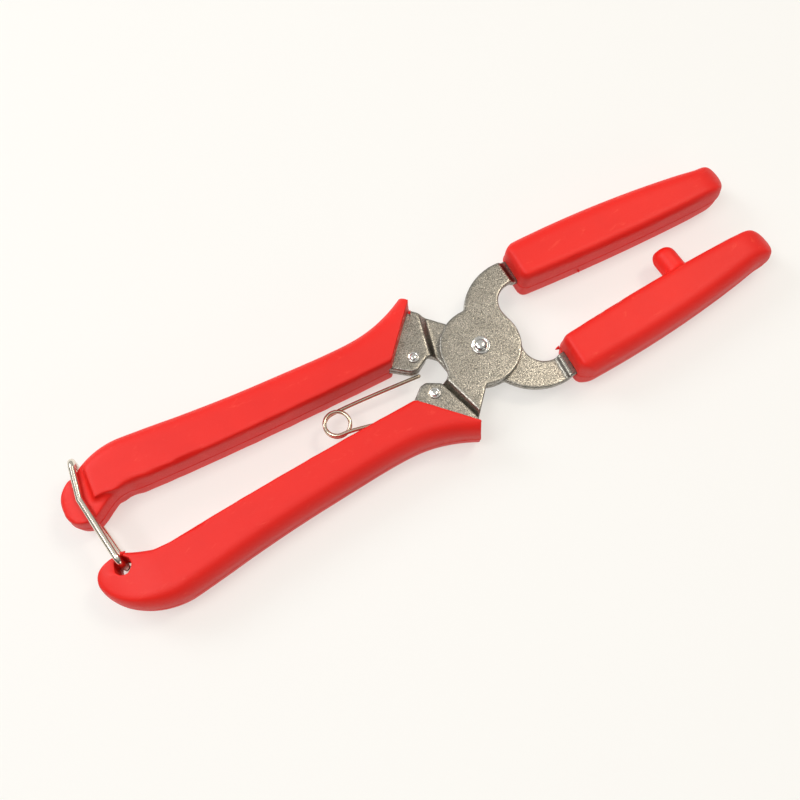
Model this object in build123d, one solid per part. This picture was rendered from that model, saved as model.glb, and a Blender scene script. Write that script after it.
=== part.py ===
from build123d import *
import math
import os

# Spring-opened hand tool: two stamped steel levers cross at one pivot rivet.
# Each lever carries a moulded grip at one end and a moulded jaw cover at the other.
# All sizes in mm. While modelling, the pivot is the origin, +X runs to the jaws,
# +Y to the far side and +Z up; each solid is moved to the shared frame when it is written.

# ---- driving dimensions ----
PLATE_T = 2.0          # steel sheet thickness
PLATE_GAP = 0.10       # running gap between the two discs
DISC_R = 11.5          # round disc of each lever
PIVOT_R = 2.0          # pivot rivet shank
PIVOT_RUN = 0.05       # radial running clearance in the turning lever
PIVOT_HEAD_R = 2.7
PIVOT_HEAD_H = 1.25
RIVET_R = 1.15         # rivet through each lever plate and its stiffener
RIVET_HEAD_R = 1.55
RIVET_HEAD_H = 0.35
GRIP_H = 14.0          # moulded grip thickness
JAW_H = 14.0           # moulded jaw thickness
LAND_HALF = 5.0        # half height of the stepped land under the bail
WIRE_R = 0.95          # bail wire
SPRING_R = 0.55        # torsion spring wire
COIL_R = 3.5           # mean coil radius
HOLE_R = 2.1           # bail hole
BAIL_Z = LAND_HALF + WIRE_R + 0.06
PEG_R = 3.6
PEG_REACH = 10.7       # from the peg's root inside the jaw to its tip

HOLE_AT = (-110.9, -9.1)
EYE_AT = (-111.1, -8.2)        # upright end of the bail wire inside the hole
STACK_RIVET_AT = (-18.0, -6.0)
COIL_AT = (-45.2, -0.4)
STEP_X = -109.6                # end of the full-height part of the latched grip
STEP_SLANT = 4.0               # the step leans this many degrees from square across the grip

DISC_BOTTOM = PLATE_GAP / 2
HANDLE_DROP = PLATE_T + PLATE_GAP / 2
JAW_DROP = PLATE_T / 2 + PLATE_GAP / 2


def prism(face, low, high):
    """Upright solid of a plan outline between two heights."""
    return extrude(Pos(0, 0, low) * face, amount=high - low, dir=(0, 0, 1))


def closed(*edges):
    return make_face(Curve() + list(edges))


def half_space(x_low, x_high, tall=60):
    middle = (x_low + x_high) / 2
    return Pos(middle, 0, 0) * Box(x_high - x_low, 200, tall)


def joggled_sheet(start, heading, bottom, drop, ramp):
    """Sheet that runs flat, steps down by drop over a ramp, and runs flat again."""
    turn = math.radians(heading)
    along = Vector(math.cos(turn), math.sin(turn), 0)
    side = Vector(along.Y, -along.X, 0)
    reach = 130
    top = bottom + PLATE_T
    lean = PLATE_T * math.tan(math.atan2(drop, ramp) / 2)
    points = [(-reach, bottom), (-lean / 2, bottom), (ramp - lean / 2, bottom - drop)]
    points += [(reach, bottom - drop), (reach, top - drop), (ramp + lean / 2, top - drop)]
    points += [(lean / 2, top), (-reach, top)]
    profile = make_face(Polyline(*points, close=True))
    bends = [v for v in profile.vertices() if abs(v.X) < 20]
    profile = fillet(bends, 0.7)
    frame = Plane(origin=(start[0], start[1], 0), x_dir=along, z_dir=side)
    return extrude(frame * profile, amount=120, both=True)


# ---- plan outlines, drawn for the lever whose handle is on the -Y side ----
def arm_outline():
    """Curved arm from the disc to the jaw, with the tang inside the jaw cover."""
    outer = ThreePointArc((1.0, 11.2), (6.0, 16.7), (17.0, 19.7))
    shoulder = Line((17.0, 19.7), (22.5, 19.2))
    tang = Polyline((22.5, 19.2), (24.0, 17.6), (71.0, 14.6), (72.5, 13.0), (71.0, 11.0), (24.0, 12.2))
    root = Line((24.0, 12.2), (18.4, 12.3))
    notch = ThreePointArc((18.4, 12.3), (13.0, 11.4), (10.6, 5.4))
    back = Polyline((10.6, 5.4), (11.2, 2.2), (0, 0), (1.0, 11.2))
    return closed(outer, shoulder, tang, root, notch, back)


def handle_outline(tail_x, tail_in, tail_out):
    """Fan-shaped plate between disc and grip, with the tang inside the grip."""
    fan = Polyline((-4.3, -10.6), (-8.3, -14.9), (-12.1, -19.0), (-16.5, -17.8), (-26.0, -15.4))
    tang = Polyline((-26.0, -15.4), (tail_x, tail_out), (tail_x - 1.5, (tail_in + tail_out) / 2))
    tang_in = Polyline((tail_x - 1.5, (tail_in + tail_out) / 2), (tail_x, tail_in), (-28.5, -8.6))
    toe = Polyline((-28.5, -8.6), (-24.6, -5.6), (-20.5, -2.3), (-18.6, -2.1), (-14.6, -4.2))
    neck = Polyline((-14.6, -4.2), (-13.0, -3.9), (-12.0, -2.8), (-11.3, 1.8), (0, 0), (-4.3, -10.6))
    return closed(fan, tang, tang_in, toe, neck)


def grip_outer():
    return Spline(
        (-13.4, -23.0), (-19.6, -20.2), (-27.0, -18.3), (-36.0, -17.9), (-52.0, -18.8),
        (-68.0, -20.0), (-84.0, -21.8), (-98.0, -23.6),
        tangents=[(-1.0, 0.55), (-1.0, -0.12)],
    )


def grip_heel():
    """Two tangent arcs that carry the outer side round the tail."""
    first = TangentArc((-98.0, -23.6), (-111.6, -20.6), tangent=(-1.0, -0.12))
    second = TangentArc((-111.6, -20.6), (-119.0, -10.9), tangent=first % 1)
    return first, second


def grip_tail():
    """Tail outline with its rounded nose reaching in toward the other grip."""
    return Spline(
        (-98.0, -23.6), (-105.3, -23.5), (-111.6, -20.6), (-116.8, -15.9), (-119.0, -10.9),
        (-117.9, -7.2), (-114.4, -5.4), (-110.6, -5.2), (-106.8, -6.9), (-103.0, -8.4), (-98.0, -9.0),
        tangents=[(-1.0, -0.12), (1.0, -0.06)],
    )


def grip_inner():
    return ThreePointArc((-98.0, -9.0), (-61.0, -6.9), (-24.7, -5.9))


def grip_plan():
    front = Polyline((-24.7, -5.9), (-11.6, -19.9), (-13.4, -23.0))
    return closed(grip_outer(), grip_tail(), grip_inner(), front)


def grip_outer_envelope():
    """Outline that matches the grip on its outer side and tail, and stands clear elsewhere."""
    heel = grip_heel()
    onward = heel[1] % 1
    top = heel[1] @ 1 + onward * 18
    rest = Polyline((-119.0, -10.9), (top.X, top.Y), (-3.0, top.Y), (-3.0, -27.0), (-13.4, -23.0))
    return closed(grip_outer(), heel[0], heel[1], rest)


def side_view_solid(profile_edges):
    return extrude(Plane.XZ * closed(*profile_edges), amount=60, both=True)


def hinged_tail_profile():
    """Side view whose top and bottom faces curve down toward the tail."""
    half = GRIP_H / 2
    top = ThreePointArc((-103.5, half), (-112.5, half - 1.1), (-121.0, half - 3.8))
    end = Line((-121.0, half - 3.8), (-121.0, 3.8 - half))
    low = ThreePointArc((-121.0, 3.8 - half), (-112.5, 1.1 - half), (-103.5, -half))
    front = Polyline((-103.5, -half), (0, -half), (0, half), (-103.5, half))
    return side_view_solid([top, end, low, front])


def latched_tail_profile():
    """Side view with a step down to a flat land, then a nose that curves down."""
    half = GRIP_H / 2
    land = LAND_HALF
    step_top = Polyline((STEP_X, half), (STEP_X - 0.9, land), (-114.6, land))
    nose_top = ThreePointArc((-114.6, land), (-118.0, land - 0.45), (-121.0, land - 1.7))
    end = Line((-121.0, land - 1.7), (-121.0, 1.7 - land))
    nose_low = ThreePointArc((-121.0, 1.7 - land), (-118.0, 0.45 - land), (-114.6, -land))
    step_low = Polyline((-114.6, -land), (STEP_X - 0.9, -land), (STEP_X, -half))
    front = Polyline((STEP_X, -half), (0, -half), (0, half), (STEP_X, half))
    straight = side_view_solid([step_top, nose_top, end, nose_low, step_low, front])
    return Pos(STEP_X, -17, 0) * Rot(0, 0, STEP_SLANT) * Pos(-STEP_X, 17, 0) * straight


def rim_edges(solid, height):
    flat = [e for e in solid.edges() if abs(abs(e.center().Z) - height) < 1e-4]
    return [e for e in flat if abs(e.bounding_box().size.Z) < 1e-4]


def rounded_prism(face, half, radius, curved_only=False):
    body = prism(face, -half, half)
    rims = rim_edges(body, half)
    if curved_only:
        rims = [e for e in rims if e.geom_type != GeomType.LINE]
    return fillet(rims, radius)


def soft_grip():
    body = rounded_prism(grip_plan(), GRIP_H / 2, 1.5, curved_only=True)
    envelope = rounded_prism(grip_outer_envelope(), GRIP_H / 2, 4.5, curved_only=True)
    return body & envelope


def nose_trim():
    """Takes away the inner side of the lobe, which leaves a shorter nose for the bail to hook over."""
    side = Spline((-114.6, -5.0), (-111.0, -6.3), (-107.6, -8.4), (-100.0, -9.3))
    rest = Polyline((-100.0, -9.3), (-100.0, -1.0), (-114.6, -1.0), (-114.6, -5.0))
    return prism(closed(side, rest), -20, 20)


def lobe_relief():
    """Takes the inward lobe of the latched grip down to the height of its land."""
    edge = Polyline((-114.0, -10.2), (-102.0, -9.6), (-101.0, -8.4), (-101.0, -2.0), (-114.0, -2.0), (-114.0, -10.2))
    upper = prism(closed(edge), LAND_HALF, 20)
    return upper + mirror(upper, about=Plane.XY)


def bail_pocket():
    """Shallow pocket that lets the bail legs swing over the tail of the hinged grip."""
    x, y = EYE_AT
    reach = 26
    side = 1.35
    sector = closed(Polyline(
        (x + side * 0.4, y - side), (x + side, y - side * 0.3), (x + side - 2.2, y + reach),
        (x - reach, y + reach), (x - reach, y - side), (x + side * 0.4, y - side),
    ))
    upper = prism(sector, LAND_HALF, 20)
    return upper + mirror(upper, about=Plane.XY)


def jaw_inner():
    return ThreePointArc((19.3, 9.5), (50.0, 7.4), (82.5, 6.7))


def jaw_tip(start, end, heading):
    """Two tangent arcs that round the tip back to the outer side."""
    low = TangentArc(start, end, tangent=heading)
    high = TangentArc(end, (83.0, 16.9), tangent=low % 1)
    return low, high


def jaw_outer():
    return ThreePointArc((83.0, 16.9), (54.0, 21.0), (23.0, 22.6))


def jaw_plan():
    inner = jaw_inner()
    low, high = jaw_tip((82.5, 6.7), (89.2, 11.7), inner % 1)
    root = Polyline((23.0, 22.6), (19.3, 20.6), (19.3, 9.5))
    return closed(inner, low, high, jaw_outer(), root)


def jaw_outer_envelope():
    """Outline that matches the jaw on its outer side and tip, and stands clear elsewhere."""
    low, high = jaw_tip((84.0, 5.93), (89.7, 11.4), (1.0, -0.0726))
    far = low @ 1 - (low % 1) * 16
    rest = Polyline((23.0, 22.6), (12.0, 23.0), (12.0, far.Y), (far.X, far.Y), (89.7, 11.4))
    return closed(high, jaw_outer(), rest)


def bullet_nose():
    """Side view that rounds the top and bottom faces down to the tip."""
    half = JAW_H / 2
    top = ThreePointArc((79.0, half), (84.5, half - 1.5), (89.4, 0))
    low = ThreePointArc((89.4, 0), (84.5, 1.5 - half), (79.0, -half))
    back = Polyline((79.0, -half), (0, -half), (0, half), (79.0, half))
    return side_view_solid([top, low, back])


def soft_jaw():
    plan = jaw_plan()
    corners = [v for v in plan.vertices() if v.X < 24]
    body = rounded_prism(fillet(corners, 2.5), JAW_H / 2, 2.3)
    envelope = rounded_prism(jaw_outer_envelope(), JAW_H / 2, 4.5, curved_only=True)
    return body & (Pos(0.1, 0.1, 0) * envelope) & bullet_nose()


# ---- steel parts ----
def lever_plate():
    handle = handle_outline(-94.0, -12.6, -19.6)
    disc = Circle(DISC_R)
    low, high = -6, 6
    back = prism(handle, low, high) + prism(disc, low, high)
    back = back & joggled_sheet((-10.95, -9.85), 194.9, DISC_BOTTOM, HANDLE_DROP, 1.7) & half_space(-130, 0)
    fore = prism(arm_outline(), low, high) + prism(disc, low, high)
    fore = fore & joggled_sheet((17.0, 16.0), 2.0, DISC_BOTTOM, JAW_DROP, 1.0) & half_space(0, 120)
    return back + fore


def stiffener_plate():
    front = Line((-14.9, -4.3), (-10.9, -17.9))
    outer = Polyline((-10.9, -17.9), (-12.1, -19.0), (-16.5, -17.8), (-26.0, -15.4), (-41.0, -15.0))
    inner = Polyline((-41.0, -15.0), (-42.5, -12.0), (-41.0, -9.4), (-28.5, -8.6), (-24.6, -5.6))
    toe = Polyline((-24.6, -5.6), (-20.5, -2.3), (-18.6, -2.1), (-14.9, -4.3))
    return prism(closed(front, outer, inner, toe), 0, PLATE_T)


def headed_pin(at, shank_r, head_r, head_h, low, high):
    shank = Pos(at[0], at[1], (low + high) / 2) * Cylinder(shank_r, high - low)
    edge = head_h * 0.35
    dome_r = (head_r ** 2 + (head_h - edge) ** 2) / (2 * (head_h - edge))
    ball = Pos(at[0], at[1], high + head_h - dome_r) * Sphere(dome_r)
    slab = Pos(at[0], at[1], high + head_h / 2) * Cylinder(head_r, head_h)
    upper = ball & slab
    ball_low = Pos(at[0], at[1], low - head_h + dome_r) * Sphere(dome_r)
    slab_low = Pos(at[0], at[1], low - head_h / 2) * Cylinder(head_r, head_h)
    return shank + upper + (ball_low & slab_low)


def bail_wire():
    x, y = EYE_AT
    knee = (-113.6, 12.0)
    end = (-111.6, 23.0)
    path = [(x, y, 0.5), (x, y, BAIL_Z), (knee[0], knee[1], BAIL_Z), (end[0], end[1], BAIL_Z)]
    path += [(end[0], end[1], -BAIL_Z), (knee[0], knee[1], -BAIL_Z), (x, y, -BAIL_Z), (x, y, -0.5)]
    line = FilletPolyline(*path, radius=2.2)
    section = Plane(origin=line @ 0, z_dir=line % 0) * Circle(WIRE_R)
    return sweep(section, path=line)


def torsion_spring():
    """Coil of one and a half turns whose legs press the two handles apart."""
    pitch = 2 * SPRING_R + 0.12
    rise = 0.75 * pitch
    x, y = COIL_AT
    coil = Pos(x, y, -rise) * Rot(0, 0, 90) * Helix(pitch=pitch, height=2 * rise, radius=COIL_R)
    start = coil @ 0
    finish = coil @ 1
    far_leg = Spline((-18.9, 1.3, start.Z), (-32.0, 2.25, start.Z), tuple(start),
                     tangents=[(-1.0, 0.06, 0), tuple(coil % 0)])
    near_leg = Spline(tuple(finish), (-38.5, -5.05, finish.Z), (-32.0, -5.35, finish.Z), (-25.5, -5.15, finish.Z),
                      tangents=[tuple(coil % 1), (1.0, 0.04, 0)])
    path = Wire([far_leg.edge(), coil.edge(), near_leg.edge()])
    section = Plane(origin=path @ 0, z_dir=path % 0) * Circle(SPRING_R)
    return sweep(section, path=path)


def jaw_peg():
    """Dome-ended peg moulded on the inner wall of one jaw cover."""
    base = Vector(61.1, 9.6, 0)
    heading = Vector(-0.0725, -0.9974, 0)
    post = extrude(Plane(origin=base, z_dir=heading) * Circle(PEG_R), amount=PEG_REACH)
    tip = post.edges().sort_by(Axis.Y)[0]
    return fillet(tip, PEG_R - 0.7)


def bore(at, radius, low=-20, high=20):
    return Pos(at[0], at[1], (low + high) / 2) * Cylinder(radius, high - low)


def lever_set():
    """Plate, stiffener and rivet of one lever, and the solid shape that the grip is moulded round."""
    blank = lever_plate()
    stiff_blank = stiffener_plate()
    hole = bore(STACK_RIVET_AT, RIVET_R)
    plate = blank - hole
    stiffener = stiff_blank - hole - blank
    rivet = headed_pin(STACK_RIVET_AT, RIVET_R, RIVET_HEAD_R, RIVET_HEAD_H, -PLATE_T, PLATE_T)
    return plate, stiffener, rivet, blank + stiff_blank


def to_other_lever(shape):
    """The second lever is the first one turned over about the long axis."""
    return Rot(180, 0, 0) * shape


def build_nodes():
    plate, stiffener, rivet, insert = lever_set()
    jaw = soft_jaw()

    grip = soft_grip() - insert
    bail_grip = grip & hinged_tail_profile()
    eye_relief = bore(EYE_AT, WIRE_R + 0.7, 3.3, 20) + bore(EYE_AT, WIRE_R + 0.7, -20, -3.3)
    bail_grip = bail_grip - bail_pocket() - bore(HOLE_AT, HOLE_R) - eye_relief
    latched_grip = (grip & latched_tail_profile()) - lobe_relief() - nose_trim()
    far_jaw = jaw - plate
    near_jaw = (jaw + jaw_peg()) - plate

    nodes = {}
    nodes["top_lever_plate"] = plate - bore((0, 0), PIVOT_R)
    nodes["top_stiffener_plate"] = stiffener
    nodes["top_lever_rivet"] = rivet
    nodes["bail_grip"] = bail_grip
    nodes["plain_jaw_cover"] = far_jaw
    nodes["bottom_lever_plate"] = to_other_lever(plate - bore((0, 0), PIVOT_R + PIVOT_RUN))
    nodes["bottom_stiffener_plate"] = to_other_lever(stiffener)
    nodes["bottom_lever_rivet"] = to_other_lever(rivet)
    nodes["latched_grip"] = to_other_lever(latched_grip)
    nodes["pegged_jaw_cover"] = to_other_lever(near_jaw)
    stack_half = PLATE_T + PLATE_GAP / 2
    nodes["pivot_rivet"] = headed_pin(
        (0, 0), PIVOT_R, PIVOT_HEAD_R, PIVOT_HEAD_H, -stack_half - PIVOT_RUN, stack_half
    )
    nodes["torsion_spring"] = torsion_spring()
    nodes["latch_bail"] = bail_wire()
    return nodes


def write_nodes(nodes):
    os.makedirs("parts", exist_ok=True)
    boxes = [shape.bounding_box() for shape in nodes.values()]
    x_low = min(b.min.X for b in boxes)
    x_high = max(b.max.X for b in boxes)
    y_low = min(b.min.Y for b in boxes)
    y_high = max(b.max.Y for b in boxes)
    z_low = min(b.min.Z for b in boxes)
    move = Pos(-(x_low + x_high) / 2, -(y_low + y_high) / 2, -z_low)
    print("shared frame offset", -(x_low + x_high) / 2, -(y_low + y_high) / 2, -z_low)
    for name, shape in nodes.items():
        placed = move * shape
        placed.label = name
        export_step(placed, os.path.join("parts", name + ".step"))
        print(name, round(placed.volume, 1), placed.is_valid, len(placed.solids()))


write_nodes(build_nodes())
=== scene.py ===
import math

import bmesh
import bpy
import numpy as np
from mathutils import Matrix, Vector
from mathutils.bvhtree import BVHTree


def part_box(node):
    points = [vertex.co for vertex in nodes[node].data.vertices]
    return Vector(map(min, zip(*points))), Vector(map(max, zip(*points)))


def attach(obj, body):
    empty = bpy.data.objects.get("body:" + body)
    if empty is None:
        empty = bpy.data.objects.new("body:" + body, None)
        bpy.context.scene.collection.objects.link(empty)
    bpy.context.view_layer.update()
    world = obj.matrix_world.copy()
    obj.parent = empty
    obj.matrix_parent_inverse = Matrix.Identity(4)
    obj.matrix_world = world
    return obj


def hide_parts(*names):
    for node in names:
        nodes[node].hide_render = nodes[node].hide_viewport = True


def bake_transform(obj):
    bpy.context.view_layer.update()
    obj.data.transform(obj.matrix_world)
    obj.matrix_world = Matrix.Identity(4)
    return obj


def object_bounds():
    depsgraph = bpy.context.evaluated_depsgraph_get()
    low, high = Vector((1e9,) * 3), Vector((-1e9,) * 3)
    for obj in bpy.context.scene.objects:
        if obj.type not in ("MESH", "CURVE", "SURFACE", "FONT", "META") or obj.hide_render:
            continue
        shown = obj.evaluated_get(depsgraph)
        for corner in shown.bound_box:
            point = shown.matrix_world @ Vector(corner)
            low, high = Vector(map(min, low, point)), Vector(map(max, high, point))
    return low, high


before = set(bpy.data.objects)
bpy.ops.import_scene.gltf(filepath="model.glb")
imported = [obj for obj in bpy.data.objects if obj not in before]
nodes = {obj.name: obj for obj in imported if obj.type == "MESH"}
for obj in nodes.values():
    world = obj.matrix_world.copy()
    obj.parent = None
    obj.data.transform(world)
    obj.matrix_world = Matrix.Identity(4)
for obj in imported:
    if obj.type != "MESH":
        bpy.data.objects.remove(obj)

cad_low, cad_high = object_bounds()
MM = 0.001
BAIL_SIDE, LATCHED_SIDE = "bail_side_lever", "latched_side_lever"

# sizes in mm; places are measured from the pivot's centre
pin_low, pin_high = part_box("pivot_rivet")
PIN = (pin_low + pin_high) / 2 / MM
HOLE = Vector((PIN.x - 110.9, PIN.y - 9.1))  # bail hole in the hinged grip
MOULD_VOXEL, MOULD_ROUNDS = 0.36, 46         # mesh size and edge softening of the plastic
SHEET_VOXEL, SHEET_ROUNDS = 0.21, 15         # the same for the stamped sheet
STEEL_REACH = 1.4                            # how far the plastic feels the steel that it holds
STEEL_BAND = 3.6                             # the steel lies within this height of the mid-plane
FAR_FROM_STEEL = 9.0
DRAFT = 0.045                                # lean of the plastic's walls for each mm of height
RIDGE_HALF, RIDGE_HIGH = 0.20, 0.11          # parting line: half width and height
SPRING_R = 0.55                              # spring wire radius
SPRING_PITCH = 1.22
COIL_AT, COIL_R = (-45.2, -0.4), 3.5
BAIL_SPREAD = 0.95                           # how much further out the bail's lower leg sits


# ---------------------------------------------------------------- meshes
def new_piece(name, mesh, material, body):
    o = bpy.data.objects.new(name, mesh)
    bpy.context.scene.collection.objects.link(o)
    mesh.materials.clear()
    mesh.materials.append(material)
    mesh.polygons.foreach_set("use_smooth", np.ones(len(mesh.polygons), bool))
    if body:
        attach(o, body)
    return o


def coords(mesh):
    co = np.empty(len(mesh.vertices) * 3)
    mesh.vertices.foreach_get("co", co)
    return co.reshape(-1, 3)


def set_coords(mesh, co):
    mesh.vertices.foreach_set("co", co.astype(np.float32).ravel())
    mesh.update()


def normals(mesh):
    n = np.empty(len(mesh.vertices) * 3)
    mesh.vertices.foreach_get("normal", n)
    return n.reshape(-1, 3)


def fine_copy(node, voxel):
    """Even, dense mesh of a CAD node, in mm."""
    mesh = nodes[node].data.copy()
    mesh.transform(Matrix.Scale(1 / MM, 4))
    bm = bmesh.new()
    bm.from_mesh(mesh)
    bmesh.ops.remove_doubles(bm, verts=bm.verts, dist=1e-4)
    bm.to_mesh(mesh)
    bm.free()
    o = bpy.data.objects.new("work", mesh)
    bpy.context.scene.collection.objects.link(o)
    m = o.modifiers.new("fine", "REMESH")
    m.mode = "VOXEL"
    m.voxel_size = voxel
    dg = bpy.context.evaluated_depsgraph_get()
    fine = bpy.data.meshes.new_from_object(o.evaluated_get(dg))
    bpy.data.objects.remove(o)
    return fine


def soften(mesh, rounds, share):
    """Rounds the edges by averaging neighbours; share is one number or one for each vertex."""
    edges = np.empty(len(mesh.edges) * 2, np.int64)
    mesh.edges.foreach_get("vertices", edges)
    a, b = edges.reshape(-1, 2).T
    count = len(mesh.vertices)
    degree = np.bincount(a, minlength=count) + np.bincount(b, minlength=count)
    co = coords(mesh)
    step = (0.5 * share)[:, None] if isinstance(share, np.ndarray) else 0.5 * share
    for _ in range(rounds):
        mean = np.stack([
            np.bincount(a, co[b, k], count) + np.bincount(b, co[a, k], count) for k in range(3)
        ], 1) / np.maximum(degree, 1)[:, None]
        co += step * (mean - co)
    set_coords(mesh, co)


def cut_planes(mesh, heights):
    """Adds edge loops at exact heights."""
    bm = bmesh.new()
    bm.from_mesh(mesh)
    for z in heights:
        parts = bm.verts[:] + bm.edges[:] + bm.faces[:]
        bmesh.ops.bisect_plane(bm, geom=parts, dist=1e-4, plane_co=(0, 0, z), plane_no=(0, 0, 1))
    bm.to_mesh(mesh)
    bm.free()
    mesh.update()


def smoothstep(x, low, high):
    t = np.clip((x - low) / (high - low), 0, 1)
    return t * t * (3 - 2 * t)


def clamp_to_cad(co):
    return np.clip(co, np.array(cad_low) / MM, np.array(cad_high) / MM)


def distance_to_steel(co, steel):
    """Distance in mm from each point to the named steel nodes, where they are within reach."""
    trees = []
    for name in steel:
        mesh = nodes[name].data
        points = [v.co / MM for v in mesh.vertices]
        trees.append(BVHTree.FromPolygons(points, [p.vertices[:] for p in mesh.polygons]))
    start = min(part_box(name)[0].x for name in steel) / MM
    end = max(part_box(name)[1].x for name in steel) / MM
    distance = np.full(len(co), FAR_FROM_STEEL)
    for i, p in enumerate(co):
        if start - 1 < p[0] < end + 1 and abs(p[2] - PIN.z) < STEEL_BAND:
            hits = [tree.find_nearest(Vector(p), STEEL_REACH) for tree in trees]
            distance[i] = min((h[3] for h in hits if h[0] is not None), default=FAR_FROM_STEEL)
    return distance


def moulded(node, name, body, material, steel, soft_zone, reshape=None):
    """A CAD plastic solid as a moulded part: soft edges, draft on both halves and a parting line."""
    mesh = fine_copy(node, MOULD_VOXEL)
    co = coords(mesh)
    clear_of_steel = smoothstep(distance_to_steel(co, steel), 0.35, 1.3)
    soften(mesh, MOULD_ROUNDS, soft_zone(co) * (0.06 + 0.94 * clear_of_steel))
    cut_planes(mesh, (PIN.z - RIDGE_HALF, PIN.z, PIN.z + RIDGE_HALF))
    co, n = coords(mesh), normals(mesh)
    wall = np.hypot(n[:, 0], n[:, 1])
    away = np.abs(co[:, 2] - PIN.z)
    ridge = RIDGE_HIGH * np.clip(1 - away / RIDGE_HALF, 0, 1)
    if reshape:
        reshape(co, n)
    move = (ridge - DRAFT * away) * smoothstep(wall, 0.3, 0.95)
    co[:, :2] += n[:, :2] * move[:, None]
    set_coords(mesh, clamp_to_cad(co) * MM)
    o = new_piece(name, mesh, material, body)
    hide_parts(node)
    return o


def grip_zone(co):
    """Edges stay crisper along the grip and grow rounder round the tail."""
    x = co[:, 0] - PIN.x
    tail = 1 - smoothstep(x, -106, -98)
    front = smoothstep(x, -30, -22)
    return 0.10 + 0.75 * tail - 0.04 * front


def hinged_zone(co):
    """As grip_zone, with the bail hole's rim kept crisp."""
    share = grip_zone(co)
    from_hole = np.hypot(co[:, 0] - HOLE.x, co[:, 1] - HOLE.y)
    return share * (0.1 + 0.9 * smoothstep(from_hole, 2.4, 4.2))


def latched_zone(co):
    """As grip_zone, with a crisper step and nose, and a softer inner edge beside the step."""
    x, y = co[:, 0] - PIN.x, co[:, 1] - PIN.y
    tail = 1 - smoothstep(x, -106, -98)
    step = smoothstep(x, -114, -111) * (1 - smoothstep(x, -106, -103))
    share = grip_zone(co) - 0.40 * tail - 0.15 * step
    notch = np.exp(-((x + 100) / 3.0) ** 2 - ((y - 9.0) / 2.2) ** 2)
    return np.clip(share + 0.9 * notch, 0.08, 1)


def full_nose(co, n):
    """Swells the outer side of the latched nose and fairs the inner edge beside its step, in place."""
    x, y, z = co[:, 0] - PIN.x, co[:, 1] - PIN.y, co[:, 2] - PIN.z
    outer = np.exp(-((y - 15.5) / 4.0) ** 2) * smoothstep(-x, 112.6, 114.6)
    swell = 1.6 * outer * smoothstep(-n[:, 0], 0.0, 0.6)
    co[:, :2] += n[:, :2] * swell[:, None]
    inner = smoothstep(13.5 - y, 0, 2.5) * smoothstep(z, -3.0, 5.5)
    bump = np.exp(-((x + 98.8) / 2.0) ** 2)
    dip = np.exp(-((x + 103.6) / 2.2) ** 2)
    co[:, 1] += inner * (0.35 * bump - 0.55 * dip)


def jaw_zone(co):
    """Round at the tip, a little less round at the root."""
    x = co[:, 0] - PIN.x
    return 0.12 + 0.8 * smoothstep(x, 76, 82) + 0.15 * (1 - smoothstep(x, 19, 23))


def tube(name, points, radius, material, body, sides=16):
    """Round wire along points, in mm from the pivot, with domed ends."""
    p = np.array(points, float) + np.array(PIN)
    t = np.gradient(p, axis=0)
    t /= np.linalg.norm(t, axis=1)[:, None]
    up = np.array((0, 0, 1.0)) if abs(t[0, 2]) < 0.9 else np.array((1.0, 0, 0))
    across = np.cross(t[0], up)
    across /= np.linalg.norm(across)
    rings = []
    for i in range(len(p)):
        across = across - t[i] * (across @ t[i])
        across /= np.linalg.norm(across)
        rings.append((p[i], across.copy(), np.cross(t[i], across), 1.0))
    dome = [(0.35, 0.93), (0.7, 0.71), (0.95, 0.31)]
    start = [(p[0] - t[0] * radius * k, rings[0][1], rings[0][2], s) for k, s in reversed(dome)]
    end = [(p[-1] + t[-1] * radius * k, rings[-1][1], rings[-1][2], s) for k, s in dome]
    rings = start + rings + end
    verts, faces = [], []
    for c, u, v, s in rings:
        for k in range(sides):
            a = 2 * math.pi * k / sides
            verts.append(c + radius * s * (u * math.cos(a) + v * math.sin(a)))
    for i in range(len(rings) - 1):
        for k in range(sides):
            a, b = i * sides + k, i * sides + (k + 1) % sides
            faces.append((a, b, b + sides, a + sides))
    faces.append(tuple(range(sides - 1, -1, -1)))
    faces.append(tuple(range((len(rings) - 1) * sides, len(rings) * sides)))
    mesh = bpy.data.meshes.new(name)
    mesh.from_pydata([tuple(v * MM) for v in verts], [], faces)
    return new_piece(name, mesh, material, body)


def bezier(a, b, c, d, count):
    """Points along a cubic curve."""
    t = np.linspace(0, 1, count)[:, None]
    a, b, c, d = (np.array(q, float) for q in (a, b, c, d))
    return (1 - t) ** 3 * a + 3 * (1 - t) ** 2 * t * b + 3 * (1 - t) * t * t * c + t ** 3 * d


def turned(name, profile, place, material, body, wobble=0.0, seed=0, sides=96):
    """Surface of revolution about +Z from (radius, height) points, with faint hammer marks."""
    rng = np.random.default_rng(seed)
    lobes = [(k, rng.uniform(0, 6.28), rng.uniform(0.4, 1)) for k in (2, 3)]
    verts, faces = [], []
    for r, z in profile:
        for k in range(sides):
            a = 2 * math.pi * k / sides
            d = sum(s * math.sin(f * a + q + z * 2) / f for f, q, s in lobes) * wobble
            lift = d * 0.6 * math.sin(min(r, 2.0) * 1.5)
            x = place[0] + (r + d) * math.cos(a)
            y = place[1] + (r + d) * math.sin(a)
            verts.append((x * MM, y * MM, (place[2] + z + (lift if z > 0 else -lift) * 0.5) * MM))
    for i in range(len(profile) - 1):
        for k in range(sides):
            a, b = i * sides + k, i * sides + (k + 1) % sides
            faces.append((a + sides, b + sides, b, a))
    faces.append(tuple(range(sides)))
    faces.append(tuple(range(len(profile) * sides - 1, (len(profile) - 1) * sides - 1, -1)))
    mesh = bpy.data.meshes.new(name)
    mesh.from_pydata(verts, [], faces)
    return new_piece(name, mesh, material, body)


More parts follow.
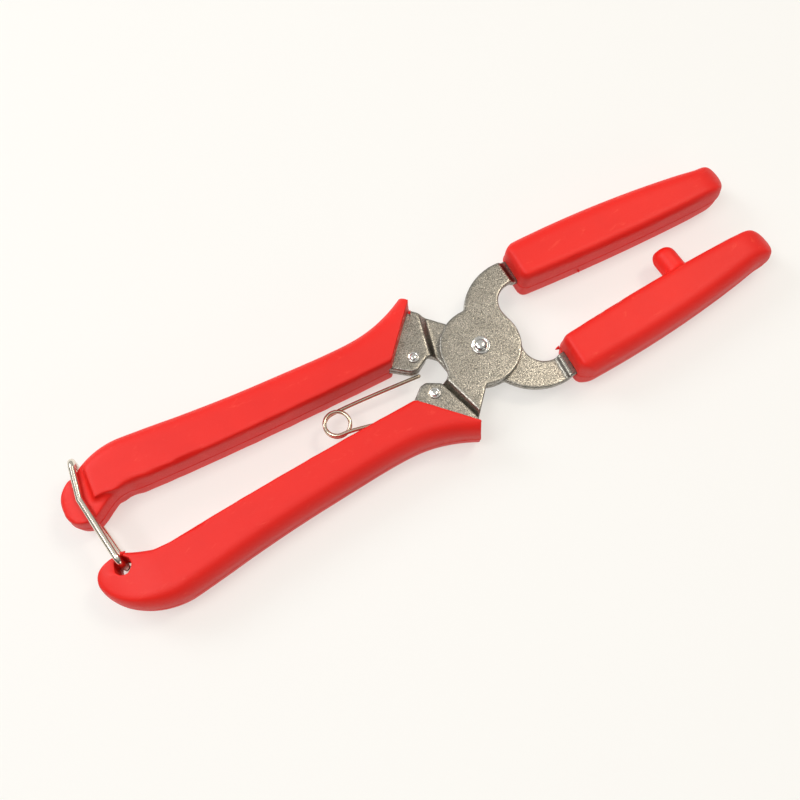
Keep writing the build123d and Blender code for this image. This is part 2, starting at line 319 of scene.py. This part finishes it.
def rivet_profile(half, shank, head, rise, collar):
    """Crown, groove, rim and shank of the upper half, then the same mirrored below."""
    dome = head * collar
    edge = rise * 0.42
    top = [(dome * math.sin(a), half + edge * 0.62 + (rise - edge * 0.62) * math.cos(a))
           for a in np.linspace(0.03, 1.45, 12)]
    groove = [(dome * 1.02, half + edge * 0.20), (dome * 1.10, half + edge * 0.18)]
    rim = [(head * 0.87, half + edge * 0.88), (head * 0.96, half + edge * 0.72), (head, half + edge * 0.40)]
    top += groove + rim + [(head * 0.98, half), (shank, half)]
    return top + [(r, -z) for r, z in reversed(top)]


def nib(name, place, direction, size, body, material, seed):
    """Small torn flake of moulding flash."""
    rng = np.random.default_rng(seed)
    d = Vector(direction).normalized()
    side = d.orthogonal().normalized()
    other = d.cross(side)
    verts, faces, rings, sides = [], [], 5, 9
    for i in range(rings):
        t = i / (rings - 1)
        r = size * (0.42 * (1 - t) ** 0.7 + 0.04)
        bend = side * (size * 0.25 * t * t * rng.uniform(0.6, 1.2))
        for k in range(sides):
            a = 2 * math.pi * k / sides
            wob = 1 + rng.uniform(-0.18, 0.18)
            spoke = side * math.cos(a) + other * math.sin(a) * 0.6
            q = Vector(place) + d * (size * t) + bend + spoke * r * wob
            verts.append(tuple(q * MM))
    for i in range(rings - 1):
        for k in range(sides):
            a, b = i * sides + k, i * sides + (k + 1) % sides
            faces.append((a, b, b + sides, a + sides))
    faces.append(tuple(range(sides - 1, -1, -1)))
    faces.append(tuple(range((rings - 1) * sides, rings * sides)))
    mesh = bpy.data.meshes.new(name)
    mesh.from_pydata(verts, [], faces)
    return new_piece(name, mesh, material, body)


# ---------------------------------------------------------------- materials
def new_material(name):
    """Material, its node tree and its surface shader."""
    m = bpy.data.materials.new(name)
    m.use_nodes = True
    return m, m.node_tree, m.node_tree.nodes["Principled BSDF"]


def noise(t, scale, detail=3.0, rough=0.5, stretch=(1, 1, 1), distort=0.0):
    """Noise in object space, in features per metre."""
    co = t.nodes.new("ShaderNodeTexCoord")
    n = t.nodes.new("ShaderNodeTexNoise")
    n.inputs["Scale"].default_value = scale
    n.inputs["Detail"].default_value = detail
    n.inputs["Roughness"].default_value = rough
    n.inputs["Distortion"].default_value = distort
    mapping = t.nodes.new("ShaderNodeMapping")
    mapping.inputs["Scale"].default_value = stretch
    t.links.new(co.outputs["Object"], mapping.inputs["Vector"])
    t.links.new(mapping.outputs["Vector"], n.inputs["Vector"])
    return n.outputs["Fac"]


def ramp(t, source, stops):
    """Colour ramp from (place, grey or colour) stops."""
    r = t.nodes.new("ShaderNodeValToRGB")
    while len(r.color_ramp.elements) < len(stops):
        r.color_ramp.elements.new(0.5)
    for e, (p, c) in zip(r.color_ramp.elements, stops):
        e.position = p
        e.color = (c, c, c, 1) if isinstance(c, (int, float)) else (*c, 1)
    t.links.new(source, r.inputs["Fac"])
    return r.outputs["Color"]


def mix(t, factor, a, b, blend="MIX"):
    m = t.nodes.new("ShaderNodeMix")
    m.data_type = "RGBA"
    m.blend_type = blend
    t.links.new(factor, m.inputs[0])
    for value, socket in ((a, m.inputs[6]), (b, m.inputs[7])):
        if isinstance(value, tuple):
            socket.default_value = (*value, 1)
        else:
            t.links.new(value, socket)
    return m.outputs[2]


def bumps(t, shader, layers):
    """Stacks bump layers given as (height, strength, distance)."""
    previous = None
    for height, strength, distance in layers:
        b = t.nodes.new("ShaderNodeBump")
        b.inputs["Strength"].default_value = strength
        b.inputs["Distance"].default_value = distance
        t.links.new(height, b.inputs["Height"])
        if previous:
            t.links.new(previous, b.inputs["Normal"])
        previous = b.outputs["Normal"]
    t.links.new(previous, shader.inputs["Normal"])


def plastic(name, base, deep, worn):
    """Satin moulded plastic with broad tone changes, scuffs and a fine texture."""
    m, t, s = new_material(name)
    broad = ramp(t, noise(t, 45, 3, 0.55), [(0.32, deep), (0.68, base)])
    scuff = ramp(t, noise(t, 190, 6, 0.72, (1, 2.2, 1), 0.6), [(0.60, 0.0), (0.70, 0.5), (0.80, 0.9)])
    colour = mix(t, scuff, broad, worn)
    t.links.new(colour, s.inputs["Base Color"])
    fine = noise(t, 2300, 4, 0.6)
    rough = ramp(t, fine, [(0.30, 0.44), (0.70, 0.60)])
    t.links.new(rough, s.inputs["Roughness"])
    s.inputs["Specular IOR Level"].default_value = 0.40
    s.inputs["Subsurface Weight"].default_value = 0.06
    s.inputs["Subsurface Radius"].default_value = (0.9, 0.15, 0.08)
    s.inputs["Subsurface Scale"].default_value = 0.0012
    bumps(t, s, [
        (noise(t, 130, 2, 0.5), 0.35, 0.00022),
        (noise(t, 620, 3, 0.5), 0.30, 0.00006),
        (fine, 0.28, 0.00002),
    ])
    return m


def steel(name, bright, dull, low, high, speck=0.5, brushed=(1, 1, 1), relief=1.0):
    """Metal with a cloudy tone and dark specks; low and high are its roughness limits."""
    m, t, s = new_material(name)
    s.inputs["Metallic"].default_value = 1.0
    cloud = ramp(t, noise(t, 260, 4, 0.6), [(0.35, dull), (0.65, bright)])
    grain = noise(t, 2300, 4, 0.80, brushed, 0.3)
    dark = tuple(c * (1 - speck) for c in dull)
    spots = ramp(t, grain, [(0.43, 1.0), (0.53, 0.0)])
    colour = mix(t, spots, cloud, dark)
    t.links.new(colour, s.inputs["Base Color"])
    t.links.new(ramp(t, grain, [(0.35, high), (0.62, low)]), s.inputs["Roughness"])
    bumps(t, s, [(noise(t, 900, 3, 0.6), 0.40 * relief, 0.00005), (grain, 0.8 * relief, 0.00005)])
    return m


DRAWN = (0.15, 1, 1)                         # stretches the grain along a wire
red_grip = plastic("red_grip", (0.815, 0.0120, 0.0055), (0.750, 0.0090, 0.0040), (0.86, 0.050, 0.028))
red_jaw = plastic("red_jaw", (0.830, 0.0135, 0.0065), (0.770, 0.0100, 0.0045), (0.88, 0.060, 0.032))
plated = steel("plated_steel", (0.44, 0.415, 0.365), (0.34, 0.32, 0.28), 0.22, 0.50, 0.55)
bright_steel = steel("bright_steel", (0.80, 0.79, 0.76), (0.70, 0.69, 0.66), 0.12, 0.24, 0.10, relief=0.10)
wire = steel("bail_wire", (0.88, 0.82, 0.72), (0.80, 0.73, 0.62), 0.16, 0.26, 0.06, DRAWN, 0.10)
spring_wire = steel("spring_wire", (0.72, 0.62, 0.50), (0.60, 0.50, 0.38), 0.16, 0.30, 0.12, DRAWN, 0.12)


# ---------------------------------------------------------------- the pieces
STEEL = {
    BAIL_SIDE: ["top_lever_plate", "top_stiffener_plate"],
    LATCHED_SIDE: ["bottom_lever_plate", "bottom_stiffener_plate"],
}


def rolled_sheet(node, body):
    """Stamped sheet with edges rolled over by the die."""
    mesh = fine_copy(node, SHEET_VOXEL)
    soften(mesh, SHEET_ROUNDS, 0.8)
    set_coords(mesh, clamp_to_cad(coords(mesh)) * MM)
    o = new_piece(node + "_rolled", mesh, plated, body)
    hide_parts(node)


def plastics():
    """Two grips and two jaw covers; a jaw cover holds its lever plate, a grip the stiffener too."""
    near, far = STEEL[BAIL_SIDE], STEEL[LATCHED_SIDE]
    grip_a = moulded("bail_grip", "hinged_grip_moulding", BAIL_SIDE, red_grip, near, hinged_zone)
    grip_b = moulded("latched_grip", "latched_grip_moulding", LATCHED_SIDE, red_grip, far, latched_zone,
                     full_nose)
    jaw_a = moulded("plain_jaw_cover", "plain_jaw_moulding", BAIL_SIDE, red_jaw, near[:1], jaw_zone)
    jaw_b = moulded("pegged_jaw_cover", "pegged_jaw_moulding", LATCHED_SIDE, red_jaw, far[:1], jaw_zone)


def rivets():
    """The pivot and one rivet through each lever and its stiffener."""
    wobble = 0.02
    pivot_shape = rivet_profile(2.06, 2.0, 2.7, 1.22, 0.66)
    lever_shape = rivet_profile(2.0, 1.15, 1.55, 0.50, 0.66)
    pivot = turned("pivot_rivet_peened", pivot_shape, PIN, bright_steel, BAIL_SIDE, wobble, 3)
    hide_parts("pivot_rivet")
    for node, body, seed in (("top_lever_rivet", BAIL_SIDE, 5), ("bottom_lever_rivet", LATCHED_SIDE, 9)):
        a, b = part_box(node)
        o = turned(node + "_peened", lever_shape, (a + b) / 2 / MM, bright_steel, body, wobble, seed)
        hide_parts(node)


def spring():
    """Coil with the near leg in one wire, and the far leg; the coil floats between the levers."""
    turn = np.linspace(math.pi / 2, math.pi / 2 + 3 * math.pi, 110)
    rise = 0.75 * SPRING_PITCH
    x, y = COIL_AT
    helix = np.stack([
        x + COIL_R * np.cos(turn), y + COIL_R * np.sin(turn), np.linspace(-rise, rise, len(turn))
    ], 1)
    near = bezier(helix[-1], helix[-1] + (4.2, -0.3, 0.1), (-36.0, -6.4, rise), (-28.0, -7.0, rise), 30)[1:]
    far = bezier(helix[0], helix[0] + (5.0, 0.1, -0.05), (-32.0, 2.45, -rise), (-18.9, 1.3, -rise), 40)
    coil = tube("spring_coil", np.vstack([helix, near]), SPRING_R, spring_wire, None)
    leg = tube("spring_leg", far, SPRING_R, spring_wire, None)
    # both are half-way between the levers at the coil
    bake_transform(coil)
    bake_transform(leg)
    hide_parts("torsion_spring")


def bail():
    """Bent wire whose lower leg sits a little further out than the upper one."""
    mesh = nodes["latch_bail"].data.copy()
    co = coords(mesh) / MM
    below = np.clip((co[:, 2].max() - co[:, 2]) / np.ptp(co[:, 2]), 0, 1)
    co[:, 0] -= BAIL_SPREAD * below * smoothstep(co[:, 1] - PIN.y, -7.5, -3.5)
    set_coords(mesh, clamp_to_cad(co) * MM)
    o = new_piece("latch_bail_wire", mesh, wire, "bail")
    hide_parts("latch_bail")


def nib_at(name, x, y, z, direction, size, body, material, seed):
    """A nib placed in mm from the pivot's centre."""
    o = nib(name, (PIN.x + x, PIN.y + y, PIN.z + z), direction, size, body, material, seed)


for body, sheets in STEEL.items():
    for sheet in sheets:
        rolled_sheet(sheet, body)
plastics()
rivets()
spring()
bail()
nib_at("flash_grip_nose", -13.4, 17.0, 4.6, (1, 0.5, 0.3), 1.1, LATCHED_SIDE, red_grip, 11)
nib_at("flash_hole_lip", -110.1, -6.2, 5.8, (1, -0.1, 0.15), 1.5, BAIL_SIDE, red_grip, 15)
nib_at("flash_jaw_root", 19.3, -10.6, 0.2, (-1, 0.25, 0.1), 1.3, LATCHED_SIDE, red_jaw, 12)
nib_at("flash_jaw_side", 38.0, 8.2, -3.0, (0.1, -1, -0.3), 0.8, BAIL_SIDE, red_jaw, 13)


# ---------------------------------------------------------------- stage, light, camera
def floor():
    """Pale floor that lights itself a little, so that shadows and red bounce stay weak."""
    m, t, s = new_material("floor_white")
    tint = ramp(t, noise(t, 3, 2, 0.4), [(0.3, (0.360, 0.359, 0.354)), (0.7, (0.370, 0.369, 0.364))])
    t.links.new(tint, s.inputs["Base Color"])
    s.inputs["Roughness"].default_value = 0.75
    s.inputs["Emission Color"].default_value = (1.0, 0.975, 0.925, 1)
    s.inputs["Emission Strength"].default_value = 0.57
    s.inputs["Specular IOR Level"].default_value = 0.15
    mesh = bpy.data.meshes.new("floor")
    r = 3.0
    mesh.from_pydata([(-r, -r, 0), (r, -r, 0), (r, r, 0), (-r, r, 0)], [], [(0, 1, 2, 3)])
    o = bpy.data.objects.new("floor", mesh)
    bpy.context.scene.collection.objects.link(o)
    o.data.materials.append(m)


def area_light(name, place, size, power, colour):
    """Rectangular light, in metres and watts, that faces the frame's origin."""
    d = bpy.data.lights.new(name, "AREA")
    d.shape = "RECTANGLE"
    d.size, d.size_y = size
    d.energy = power
    d.color = colour
    o = bpy.data.objects.new(name, d)
    bpy.context.scene.collection.objects.link(o)
    o.location = place
    o.rotation_mode = "QUATERNION"
    o.rotation_quaternion = (-Vector(place)).to_track_quat("-Z", "Y")


def camera():
    """Looks steeply down from the grips' side."""
    elevation, heading = 1.23683, math.radians(29.02)
    forward = Vector((math.sin(heading) * math.cos(elevation), math.cos(heading) * math.cos(elevation),
                      -math.sin(elevation)))
    right = Vector((math.cos(heading), -math.sin(heading), 0))
    up = right.cross(forward)
    d = bpy.data.cameras.new("camera")
    d.lens, d.sensor_width = 45.0, 36.0
    d.clip_start, d.clip_end = 0.01, 20
    o = bpy.data.objects.new("camera", d)
    bpy.context.scene.collection.objects.link(o)
    place = (PIN + Vector((-70.494, -80.997, 258.55))) * MM
    o.matrix_world = Matrix.Translation(place) @ Matrix((right, up, -forward)).transposed().to_4x4()
    bpy.context.scene.camera = o


def surroundings():
    """Soft light from all round: brightest overhead and a little to the far side, dim near the floor."""
    world = bpy.data.worlds.new("studio")
    bpy.context.scene.world = world
    world.use_nodes = True
    sky = world.node_tree
    background = sky.nodes["Background"]
    background.inputs["Strength"].default_value = 1.0
    direction = sky.nodes.new("ShaderNodeTexCoord")
    facing = sky.nodes.new("ShaderNodeVectorMath")
    facing.operation = "DOT_PRODUCT"
    facing.inputs[1].default_value = (0.10, 0.38, 0.92)
    sky.links.new(direction.outputs["Generated"], facing.inputs[0])
    glow = ramp(sky, facing.outputs["Value"], [
        (0.0, (0.08, 0.079, 0.077)),
        (0.30, (0.12, 0.118, 0.114)),
        (0.65, (0.49, 0.485, 0.47)),
        (1.0, (0.62, 0.61, 0.59)),
    ])
    sky.links.new(glow, background.inputs["Color"])


floor()
camera()
bpy.context.scene.view_settings.view_transform = "Standard"
surroundings()
area_light("overhead", (-0.45, 0.05, 0.93), (0.40, 0.40), 3.6, (1.0, 0.99, 0.97))
area_light("far_left", (-0.50, 0.70, 0.65), (0.40, 0.40), 3.8, (0.92, 0.97, 1.0))
area_light("warm_right", (0.49, 0.08, 0.86), (0.24, 0.24), 2.5, (1.0, 0.90, 0.75))
area_light("low_front", (0.25, -0.90, 0.38), (0.60, 0.20), 0.8, (1.0, 0.97, 0.92))
